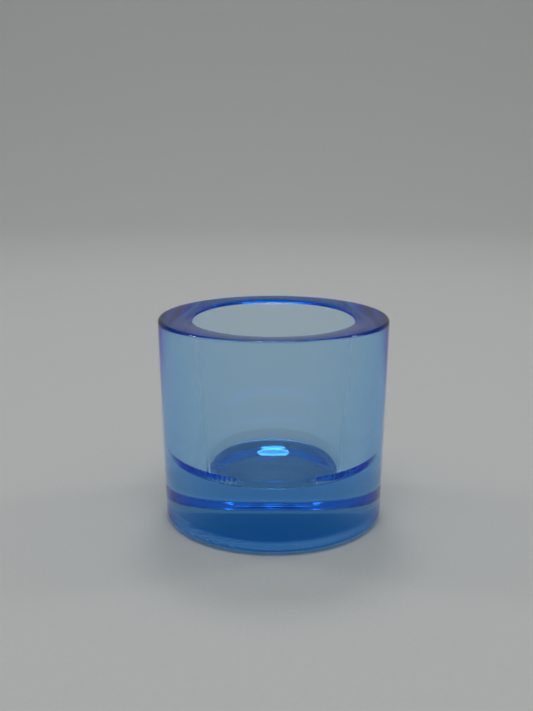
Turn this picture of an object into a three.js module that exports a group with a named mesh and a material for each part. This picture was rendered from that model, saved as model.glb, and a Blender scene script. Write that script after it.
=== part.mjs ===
// Votive candle holder: one thick-walled glass cup, pressed in a single shot.
// Millimetres, +Z up. The origin is the centre of the foot, on the surface the holder stands on.
// The whole body is one closed outline turned about the Z axis.

import { Group, LatheGeometry, Mesh, MeshStandardMaterial, Vector2 } from "three";

// Driving dimensions
const HEIGHT = 60;
const RIM_OUTER_RADIUS = 33.2;
const RIM_INNER_RADIUS = 23.2;
const BASE_RADIUS = 31.8;
const WELL_FLOOR_HEIGHT = 16.5;
const WELL_FLOOR_RADIUS = 19.2;

// The well's wall leans inwards a little, then a short shoulder that leans more leads to the flat floor.
const SHOULDER_RADIUS = 20.3;
const SHOULDER_HEIGHT = 19.4;

// The top of the rim is level near the outer edge and falls in a wide arc towards the mouth.
const RIM_CROWN_RADIUS = 48;
const RIM_CROWN_END_RADIUS = 24.4;

// Rounded edges
const LOWER_EDGE_RADIUS = 2.4;
const RIM_OUTER_EDGE_RADIUS = 1;
const RIM_INNER_EDGE_RADIUS = 1;
const SHOULDER_EDGE_RADIUS = 0.9;
const WELL_FILLET_RADIUS = 0.7;

// Shallow recess under the foot, so that the holder stands on a ring
const RECESS_DEPTH = 0.6;
const RECESS_FLAT_RADIUS = 16;
const FOOT_RING_INNER_RADIUS = 27.5;

// Look of the glass
const GLASS_COLOUR = 0x6f9fd8;
const GLASS_ROUGHNESS = 0.05;

// Fineness of the turned mesh
const TURN_SEGMENTS = 72;
const EDGE_STEPS = 5;
const RECESS_STEPS = 6;
const CROWN_STEPS = 4;

// Points of a round edge of the given radius, between two straight lines that meet at the corner.
function roundedCorner(before, corner, after, radius) {
  const towardsBefore = before.clone().sub(corner).normalize();
  const towardsAfter = after.clone().sub(corner).normalize();
  const halfAngle = Math.acos(towardsBefore.dot(towardsAfter)) / 2;
  const bisector = towardsBefore.clone().add(towardsAfter).normalize();
  const centre = corner.clone().addScaledVector(bisector, radius / Math.sin(halfAngle));
  const tangentLength = radius / Math.tan(halfAngle);
  const start = corner.clone().addScaledVector(towardsBefore, tangentLength).sub(centre);
  const end = corner.clone().addScaledVector(towardsAfter, tangentLength).sub(centre);
  const sweep = Math.atan2(start.cross(end), start.dot(end));
  const points = [];
  for (let step = 0; step <= EDGE_STEPS; step += 1) {
    const angle = start.angle() + (sweep * step) / EDGE_STEPS;
    points.push(new Vector2(radius * Math.cos(angle), radius * Math.sin(angle)).add(centre));
  }
  return points;
}

// The underside: a flat recess, then half a cosine wave down to the foot ring.
function undersideOutline() {
  const points = [new Vector2(0, RECESS_DEPTH)];
  for (let step = 0; step <= RECESS_STEPS; step += 1) {
    const share = step / RECESS_STEPS;
    const radius = RECESS_FLAT_RADIUS + (FOOT_RING_INNER_RADIUS - RECESS_FLAT_RADIUS) * share;
    points.push(new Vector2(radius, (RECESS_DEPTH * (1 + Math.cos(Math.PI * share))) / 2));
  }
  return points;
}

// A point of the rim's crown, at the given distance from the axis.
function crownPoint(radius) {
  const inwards = RIM_OUTER_RADIUS - RIM_OUTER_EDGE_RADIUS - radius;
  const fall = RIM_CROWN_RADIUS - Math.sqrt(RIM_CROWN_RADIUS ** 2 - inwards ** 2);
  return new Vector2(radius, HEIGHT - fall);
}

// The crown's points after its crest, which is the end of the rim's outer edge.
function crownOutline() {
  const crestRadius = RIM_OUTER_RADIUS - RIM_OUTER_EDGE_RADIUS;
  const points = [];
  for (let step = 1; step <= CROWN_STEPS; step += 1) {
    const share = step / CROWN_STEPS;
    points.push(crownPoint(crestRadius + (RIM_CROWN_END_RADIUS - crestRadius) * share));
  }
  return points;
}

// The closed outline, from the axis under the foot, up the outside, over the rim and down the well.
function bodyOutline() {
  const footRing = new Vector2(FOOT_RING_INNER_RADIUS, 0);
  const lowerEdge = new Vector2(BASE_RADIUS, 0);
  const rimOuter = new Vector2(RIM_OUTER_RADIUS, HEIGHT);
  const crownEnd = crownPoint(RIM_CROWN_END_RADIUS);
  const rimInner = crownPoint(RIM_INNER_RADIUS);
  const shoulder = new Vector2(SHOULDER_RADIUS, SHOULDER_HEIGHT);
  const wellCorner = new Vector2(WELL_FLOOR_RADIUS, WELL_FLOOR_HEIGHT);
  const wellCentre = new Vector2(0, WELL_FLOOR_HEIGHT);
  return [
    ...undersideOutline(),
    ...roundedCorner(footRing, lowerEdge, rimOuter, LOWER_EDGE_RADIUS),
    ...roundedCorner(lowerEdge, rimOuter, new Vector2(0, HEIGHT), RIM_OUTER_EDGE_RADIUS),
    ...crownOutline(),
    ...roundedCorner(crownEnd, rimInner, shoulder, RIM_INNER_EDGE_RADIUS),
    ...roundedCorner(rimInner, shoulder, wellCorner, SHOULDER_EDGE_RADIUS),
    ...roundedCorner(shoulder, wellCorner, wellCentre, WELL_FILLET_RADIUS),
    wellCentre,
  ];
}

function glassBody() {
  const geometry = new LatheGeometry(bodyOutline(), TURN_SEGMENTS);
  // LatheGeometry turns about Y, and the holder stands along Z.
  geometry.rotateX(Math.PI / 2);
  const glass = new MeshStandardMaterial({
    color: GLASS_COLOUR,
    roughness: GLASS_ROUGHNESS,
    metalness: 0,
  });
  const mesh = new Mesh(geometry, glass);
  mesh.name = "glass_body";
  return mesh;
}

const votiveHolder = new Group();
votiveHolder.add(glassBody());

export default votiveHolder;
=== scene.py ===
"""Thick-walled blue glass votive holder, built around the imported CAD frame.

Metres, +Z up, the same frame as the CAD. The glass is one outline turned about Z, finer than the
CAD's faceted body and with the slight unevenness of pressed glass.
"""
import math

import bmesh
import bpy
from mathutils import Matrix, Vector, noise


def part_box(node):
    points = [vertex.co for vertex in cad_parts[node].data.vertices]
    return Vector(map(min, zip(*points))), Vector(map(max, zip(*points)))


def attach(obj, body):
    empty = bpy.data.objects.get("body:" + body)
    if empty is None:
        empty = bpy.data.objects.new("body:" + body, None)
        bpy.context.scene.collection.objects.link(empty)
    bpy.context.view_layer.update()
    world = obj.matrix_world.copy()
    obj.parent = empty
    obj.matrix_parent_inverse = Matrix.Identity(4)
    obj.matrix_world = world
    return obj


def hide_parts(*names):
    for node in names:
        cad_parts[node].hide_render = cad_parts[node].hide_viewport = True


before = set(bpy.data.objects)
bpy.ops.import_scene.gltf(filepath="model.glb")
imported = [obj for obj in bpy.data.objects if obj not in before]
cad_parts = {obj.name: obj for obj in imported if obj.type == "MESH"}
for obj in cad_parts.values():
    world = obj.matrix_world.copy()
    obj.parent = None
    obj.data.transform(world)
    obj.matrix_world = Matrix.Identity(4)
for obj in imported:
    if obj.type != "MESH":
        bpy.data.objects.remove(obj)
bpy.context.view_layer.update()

MM = 0.001

# The body's height comes from its CAD node.
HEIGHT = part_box("glass_body")[1][2]

# The rest of the outline
RIM_OUTER_RADIUS = 33.2 * MM
BASE_RADIUS = 31.8 * MM
RIM_INNER_RADIUS = 23.2 * MM
WELL_FLOOR_HEIGHT = 16.5 * MM
WELL_FLOOR_RADIUS = 19.2 * MM
SHOULDER_RADIUS = 20.3 * MM
SHOULDER_HEIGHT = 19.4 * MM
RIM_CROWN_RADIUS = 48 * MM
RIM_CROWN_END_RADIUS = 24.4 * MM
LOWER_EDGE_RADIUS = 2.4 * MM
RIM_OUTER_EDGE_RADIUS = 1.0 * MM
RIM_INNER_EDGE_RADIUS = 1.0 * MM
SHOULDER_EDGE_RADIUS = 0.9 * MM
WELL_FILLET_RADIUS = 0.7 * MM
RECESS_DEPTH = 0.6 * MM
RECESS_FLAT_RADIUS = 16 * MM
FOOT_RING_INNER_RADIUS = 27.5 * MM

# Slight waves all over the well, ripples round the foot of its wall and a relief under the foot.
# Ripples and relief are strongest at the left, a little to the front. Rates are per metre.
# The ripples' middle is a height, and the relief's is a radius.
WALL_WAVE = 0.012 * MM
WALL_WAVE_RATE = 110
RIPPLE_DEPTH = 0.045 * MM
RIPPLES_PER_TURN = 90
RIPPLE_MIDDLE = 18.6 * MM
RIPPLE_REACH = 2.4 * MM
RELIEF_HEIGHT = 0.07 * MM
RELIEF_RATE = 330
RELIEF_SWIRLS = 9
RELIEF_MIDDLE = 22 * MM
RELIEF_REACH = 5.5 * MM
MARKED_SIDE = math.radians(205)
MARKED_SPREAD = math.radians(55)
LEAST_MARKED = 0.2

# Fineness of the turned mesh
TURN_SEGMENTS = 720
STAGE_SEGMENTS = 128
EDGE_STEPS = 10
RECESS_STEPS = 26
CROWN_STEPS = 10
WALL_STEPS = 16
SHOULDER_STEPS = 12
FLOOR_STEPS = 6

# A point nearer to the axis than this is on it.
ON_AXIS = 1e-9


# ---------------------------------------------------------------- the outline

def rounded_corner(before, corner, after, radius):
    """Points of a round edge between two straight lines that meet at the corner."""
    towards_before = (before - corner).normalized()
    towards_after = (after - corner).normalized()
    half_angle = towards_before.angle(towards_after) / 2
    bisector = (towards_before + towards_after).normalized()
    centre = corner + bisector * (radius / math.sin(half_angle))
    tangent_length = radius / math.tan(half_angle)
    start = corner + towards_before * tangent_length - centre
    end = corner + towards_after * tangent_length - centre
    sweep = math.atan2(start.x * end.y - start.y * end.x, start.dot(end))
    first = math.atan2(start.y, start.x)
    angles = [first + sweep * step / EDGE_STEPS for step in range(EDGE_STEPS + 1)]
    return [centre + Vector((math.cos(a), math.sin(a))) * radius for a in angles]


def between(start, end, steps):
    """Points inside a straight stretch, without its two ends."""
    return [start.lerp(end, step / steps) for step in range(1, steps)]


def underside_outline():
    """A flat recess, then half a cosine wave down to the foot ring."""
    centre = Vector((0, RECESS_DEPTH))
    points = [centre] + between(centre, Vector((RECESS_FLAT_RADIUS, RECESS_DEPTH)), FLOOR_STEPS)
    slope_width = FOOT_RING_INNER_RADIUS - RECESS_FLAT_RADIUS
    for step in range(RECESS_STEPS + 1):
        share = step / RECESS_STEPS
        height = RECESS_DEPTH * (1 + math.cos(math.pi * share)) / 2
        points.append(Vector((RECESS_FLAT_RADIUS + slope_width * share, height)))
    return points


def crown_point(radius):
    """A point of the rim's crown, at the given distance from the axis."""
    inwards = RIM_OUTER_RADIUS - RIM_OUTER_EDGE_RADIUS - radius
    fall = RIM_CROWN_RADIUS - math.sqrt(RIM_CROWN_RADIUS ** 2 - inwards ** 2)
    return Vector((radius, HEIGHT - fall))


def body_outline():
    """From the axis under the foot, up the outside, over the rim and down the well."""
    foot_ring = Vector((FOOT_RING_INNER_RADIUS, 0))
    lower_edge = Vector((BASE_RADIUS, 0))
    rim_outer = Vector((RIM_OUTER_RADIUS, HEIGHT))
    crown_end = crown_point(RIM_CROWN_END_RADIUS)
    rim_inner = crown_point(RIM_INNER_RADIUS)
    shoulder = Vector((SHOULDER_RADIUS, SHOULDER_HEIGHT))
    well_corner = Vector((WELL_FLOOR_RADIUS, WELL_FLOOR_HEIGHT))
    well_centre = Vector((0, WELL_FLOOR_HEIGHT))
    crest = RIM_OUTER_RADIUS - RIM_OUTER_EDGE_RADIUS
    crown = [crown_point(crest + (RIM_CROWN_END_RADIUS - crest) * step / CROWN_STEPS)
             for step in range(1, CROWN_STEPS + 1)]
    rim_edge = rounded_corner(crown_end, rim_inner, shoulder, RIM_INNER_EDGE_RADIUS)
    shoulder_edge = rounded_corner(rim_inner, shoulder, well_corner, SHOULDER_EDGE_RADIUS)
    well_edge = rounded_corner(shoulder, well_corner, well_centre, WELL_FILLET_RADIUS)
    return (underside_outline()
            + rounded_corner(foot_ring, lower_edge, rim_outer, LOWER_EDGE_RADIUS)
            + rounded_corner(lower_edge, rim_outer, Vector((0, HEIGHT)), RIM_OUTER_EDGE_RADIUS)
            + crown
            + rim_edge
            + between(rim_edge[-1], shoulder_edge[0], WALL_STEPS)
            + shoulder_edge
            + between(shoulder_edge[-1], well_edge[0], SHOULDER_STEPS)
            + well_edge
            + between(well_edge[-1], well_centre, FLOOR_STEPS)
            + [well_centre])


# ---------------------------------------------------------------- the turned meshes

def on_circle(point, angle):
    """The outline's point, turned to the given angle."""
    return Vector((point.x * math.cos(angle), point.x * math.sin(angle), point.y))


def marked_share(angle):
    """How strong the marks are in this direction, from LEAST_MARKED to 1."""
    away = (angle - MARKED_SIDE + math.pi) % (2 * math.pi) - math.pi
    return LEAST_MARKED + (1 - LEAST_MARKED) * math.exp(-(away / MARKED_SPREAD) ** 2)


def pressed_point(point, angle):
    """The turned point, with slight waves and ripples in the well and a faint relief under the foot."""
    place = on_circle(point, angle)
    outwards = Vector((math.cos(angle), math.sin(angle), 0))
    in_well = WELL_FLOOR_HEIGHT < point.y and point.x < RIM_INNER_RADIUS
    under_foot = 0 < point.y <= RECESS_DEPTH and point.x < FOOT_RING_INNER_RADIUS
    if in_well:
        wave = WALL_WAVE * noise.noise(place * WALL_WAVE_RATE)
        nearness = max(0.0, 1 - abs(point.y - RIPPLE_MIDDLE) / RIPPLE_REACH)
        ripple = RIPPLE_DEPTH * marked_share(angle) * nearness * math.cos(RIPPLES_PER_TURN * angle)
        place += outwards * (wave + ripple)
    elif under_foot:
        swirl = 0.5 + 0.5 * math.sin(RELIEF_SWIRLS * noise.noise(place * RELIEF_RATE))
        nearness = max(0.0, 1 - ((point.x - RELIEF_MIDDLE) / RELIEF_REACH) ** 2)
        place.z += RELIEF_HEIGHT * marked_share(angle) ** 2 * nearness * swirl
    return place


def turned_mesh(name, outline, segments, turned_point):
    """A mesh of the outline turned about Z; closed if the outline starts and ends on the axis."""
    mesh = bpy.data.meshes.new(name)
    work = bmesh.new()
    rings = []
    for point in outline:
        if point.x < ON_AXIS:
            rings.append([work.verts.new((0, 0, point.y))])
            continue
        rings.append([work.verts.new(turned_point(point, 2 * math.pi * k / segments))
                      for k in range(segments)])
    for low, high in zip(rings, rings[1:]):
        for k in range(segments):
            after = (k + 1) % segments
            corners = [low[k % len(low)], low[after % len(low)],
                       high[after % len(high)], high[k % len(high)]]
            face = list(dict.fromkeys(corners))
            work.faces.new(face)
    bmesh.ops.recalc_face_normals(work, faces=work.faces)
    for face in work.faces:
        face.smooth = True
    work.to_mesh(mesh)
    work.free()
    return mesh


# ---------------------------------------------------------------- materials

# Colours are linear. Noise scales are per metre.
GLASS_IOR = 1.5
GLASS_SPECULAR_TINT = (0.35, 0.5, 0.6, 1)
GLASS_ABSORPTION_COLOUR = (0.0, 0.59, 0.98, 1)
GLASS_ABSORPTION_DENSITY = 34
SMUDGE_SCALE = 70
SMUDGE_DETAIL = 3
SMUDGE_NOISE_RANGE = (0.56, 0.72)
SMUDGE_ROUGHNESS_RANGE = (0.0, 0.035)
GLASS_WAVE_SCALE = 140
GLASS_WAVE_DETAIL = 2
GLASS_WAVE_HEIGHT = 0.01 * MM
GLASS_WAVE_STRENGTH = 0.6

PAPER_DARKER = (0.575, 0.57, 0.545, 1)
PAPER_LIGHTER = (0.615, 0.61, 0.585, 1)
PAPER_TINT_SCALE = 900
PAPER_TINT_DETAIL = 4
PAPER_ROUGHNESS = 0.9
PAPER_SPECULAR_LEVEL = 0.2
PAPER_GRAIN_SCALE = 1600
PAPER_GRAIN_DETAIL = 3
PAPER_GRAIN_HEIGHT = 0.03 * MM
PAPER_GRAIN_STRENGTH = 0.5


def new_material(name):
    material = bpy.data.materials.new(name)
    material.use_nodes = True
    nodes = material.node_tree.nodes
    return material, material.node_tree, nodes["Principled BSDF"], nodes["Material Output"]


def add_noise(tree, scale, detail):
    """Noise in the object's own metres."""
    place = tree.nodes.new("ShaderNodeTexCoord")
    texture = tree.nodes.new("ShaderNodeTexNoise")
    texture.inputs["Scale"].default_value = scale
    texture.inputs["Detail"].default_value = detail
    tree.links.new(place.outputs["Object"], texture.inputs["Vector"])
    return texture.outputs["Fac"]


def remapped(tree, value, from_range, to_range):
    """The value, moved from one range to another and kept inside it."""
    step = tree.nodes.new("ShaderNodeMapRange")
    step.inputs["From Min"].default_value, step.inputs["From Max"].default_value = from_range
    step.inputs["To Min"].default_value, step.inputs["To Max"].default_value = to_range
    tree.links.new(value, step.inputs["Value"])
    return step.outputs["Result"]


def add_bump(tree, shader, height, distance, strength):
    bump = tree.nodes.new("ShaderNodeBump")
    bump.inputs["Distance"].default_value = distance
    bump.inputs["Strength"].default_value = strength
    tree.links.new(height, bump.inputs["Height"])
    tree.links.new(bump.outputs["Normal"], shader.inputs["Normal"])


def blue_glass():
    """Clear blue glass: it absorbs more where more glass is looked through.

    The surface is fire polished, with faint smudges from handling and a very slight waviness.
    """
    material, tree, shader, output = new_material("blue_glass")
    shader.inputs["Base Color"].default_value = (1, 1, 1, 1)
    shader.inputs["Transmission Weight"].default_value = 1
    shader.inputs["IOR"].default_value = GLASS_IOR
    shader.inputs["Specular Tint"].default_value = GLASS_SPECULAR_TINT
    smudges = remapped(tree, add_noise(tree, SMUDGE_SCALE, SMUDGE_DETAIL),
                       SMUDGE_NOISE_RANGE, SMUDGE_ROUGHNESS_RANGE)
    tree.links.new(smudges, shader.inputs["Roughness"])
    add_bump(tree, shader, add_noise(tree, GLASS_WAVE_SCALE, GLASS_WAVE_DETAIL),
             GLASS_WAVE_HEIGHT, GLASS_WAVE_STRENGTH)
    absorption = tree.nodes.new("ShaderNodeVolumeAbsorption")
    absorption.inputs["Color"].default_value = GLASS_ABSORPTION_COLOUR
    absorption.inputs["Density"].default_value = GLASS_ABSORPTION_DENSITY
    tree.links.new(absorption.outputs["Volume"], output.inputs["Volume"])
    return material


def pale_paper():
    """The matt, pale grey sheet that the holder stands on, with a fine grain."""
    material, tree, shader, _ = new_material("pale_paper")
    tint = tree.nodes.new("ShaderNodeMix")
    tint.data_type = "RGBA"
    tint.inputs["A"].default_value = PAPER_DARKER
    tint.inputs["B"].default_value = PAPER_LIGHTER
    tree.links.new(add_noise(tree, PAPER_TINT_SCALE, PAPER_TINT_DETAIL), tint.inputs["Factor"])
    tree.links.new(tint.outputs["Result"], shader.inputs["Base Color"])
    shader.inputs["Roughness"].default_value = PAPER_ROUGHNESS
    shader.inputs["Specular IOR Level"].default_value = PAPER_SPECULAR_LEVEL
    add_bump(tree, shader, add_noise(tree, PAPER_GRAIN_SCALE, PAPER_GRAIN_DETAIL),
             PAPER_GRAIN_HEIGHT, PAPER_GRAIN_STRENGTH)
    return material


# ---------------------------------------------------------------- pieces

def add_object(name, mesh, material):
    mesh.materials.append(material)
    thing = bpy.data.objects.new(name, mesh)
    bpy.context.scene.collection.objects.link(thing)
    return thing


glass_mesh = turned_mesh("votive_glass", body_outline(), TURN_SEGMENTS, pressed_point)
glass = add_object("votive_glass", glass_mesh, blue_glass())
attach(glass, "root")
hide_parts("glass_body")


# ---------------------------------------------------------------- stage, light and camera

SWEEP_INNER_RING = 0.2
SWEEP_FLOOR_RADIUS = 0.75
SWEEP_CURVE_RADIUS = 0.45
SWEEP_STEPS = 24
FLOOR_DROP = 0.0001


def sweep_outline():
    """A flat floor that curves up all round to a low edge, open above it."""
    points = [Vector((0, -FLOOR_DROP)), Vector((SWEEP_INNER_RING, -FLOOR_DROP))]
    for step in range(SWEEP_STEPS + 1):
        angle = math.pi / 2 * step / SWEEP_STEPS
        points.append(Vector((SWEEP_FLOOR_RADIUS + SWEEP_CURVE_RADIUS * math.sin(angle),
                              SWEEP_CURVE_RADIUS * (1 - math.cos(angle)) - FLOOR_DROP)))
    return points


floor_mesh = turned_mesh("floor", sweep_outline(), STAGE_SEGMENTS, on_circle)
floor = add_object("floor", floor_mesh, pale_paper())


def area_light(name, place, aim, size, power):
    """A round soft lamp."""
    lamp = bpy.data.lights.new(name, "AREA")
    lamp.shape = "DISK"
    lamp.size = size
    lamp.energy = power
    thing = bpy.data.objects.new(name, lamp)
    thing.location = place
    thing.rotation_euler = (Vector(aim) - Vector(place)).to_track_quat("-Z", "Y").to_euler()
    bpy.context.scene.collection.objects.link(thing)


HOLDER_MIDDLE = (0, 0, HEIGHT / 2)
SWEEP_BACK = (0, 1.4, 0.2)

area_light("top_lamp", place=(0, 0.36, 0.83), aim=HOLDER_MIDDLE, size=0.24, power=1.2)
area_light("front_lamp", place=(0, -0.31, 0.85), aim=HOLDER_MIDDLE, size=0.42, power=1.65)
area_light("back_lamp", place=(0, 0.55, 0.7), aim=SWEEP_BACK, size=0.5, power=0.5)
for side in (-1, 1):
    area_light("side_lamp", place=(side * 0.62, 0.2, 0.65), aim=HOLDER_MIDDLE, size=0.14, power=0.5)

# The room's light by height, with a dark blue stretch above the sweep's edge and a dark patch
# overhead. Each stop is the sine of an elevation and a colour.
ROOM_LIGHT = ((0, (0.30, 0.30, 0.30)), (0.34, (0.27, 0.29, 0.30)), (0.40, (0.02, 0.13, 0.20)),
              (0.47, (0.02, 0.15, 0.24)), (0.6, (0.30, 0.31, 0.32)), (0.93, (0.38, 0.39, 0.40)),
              (0.98, (0.12, 0.13, 0.15)), (1, (0.10, 0.11, 0.13)))


def soft_room():
    world = bpy.data.worlds.new("soft_room")
    world.use_nodes = True
    tree = world.node_tree
    place = tree.nodes.new("ShaderNodeTexCoord")
    parts = tree.nodes.new("ShaderNodeSeparateXYZ")
    ramp = tree.nodes.new("ShaderNodeValToRGB")
    tree.links.new(place.outputs["Generated"], parts.inputs["Vector"])
    tree.links.new(parts.outputs["Z"], ramp.inputs["Fac"])
    tree.links.new(ramp.outputs["Color"], tree.nodes["Background"].inputs["Color"])
    stops = ramp.color_ramp.elements
    stops.remove(stops[1])
    for index, (position, colour) in enumerate(ROOM_LIGHT):
        stop = stops[0] if index == 0 else stops.new(position)
        stop.position = position
        stop.color = (*colour, 1)
    return world


bpy.context.scene.world = soft_room()
bpy.context.scene.view_settings.view_transform = "Standard"

# Light takes long paths inside the thick glass.
MAX_BOUNCES = 32
GLOSSY_BOUNCES = 24
TRANSMISSION_BOUNCES = 32
bpy.context.scene.cycles.max_bounces = MAX_BOUNCES
bpy.context.scene.cycles.glossy_bounces = GLOSSY_BOUNCES
bpy.context.scene.cycles.transmission_bounces = TRANSMISSION_BOUNCES

CAMERA_DISTANCE = 0.2901
CAMERA_PITCH = math.radians(13.78)
CAMERA_AIM = Vector((-0.00203, 0, 0.0483))
CAMERA_LENS = 50.633
CAMERA_SENSOR = 36
CAMERA_CLIP_START = 0.01

camera_data = bpy.data.cameras.new("camera")
camera_data.sensor_width = CAMERA_SENSOR
camera_data.lens = CAMERA_LENS
camera_data.clip_start = CAMERA_CLIP_START
camera = bpy.data.objects.new("camera", camera_data)
towards_camera = Vector((0, -math.cos(CAMERA_PITCH), math.sin(CAMERA_PITCH)))
camera.location = CAMERA_AIM + towards_camera * CAMERA_DISTANCE
camera.rotation_euler = (math.pi / 2 - CAMERA_PITCH, 0, 0)
bpy.context.scene.collection.objects.link(camera)
bpy.context.scene.camera = camera
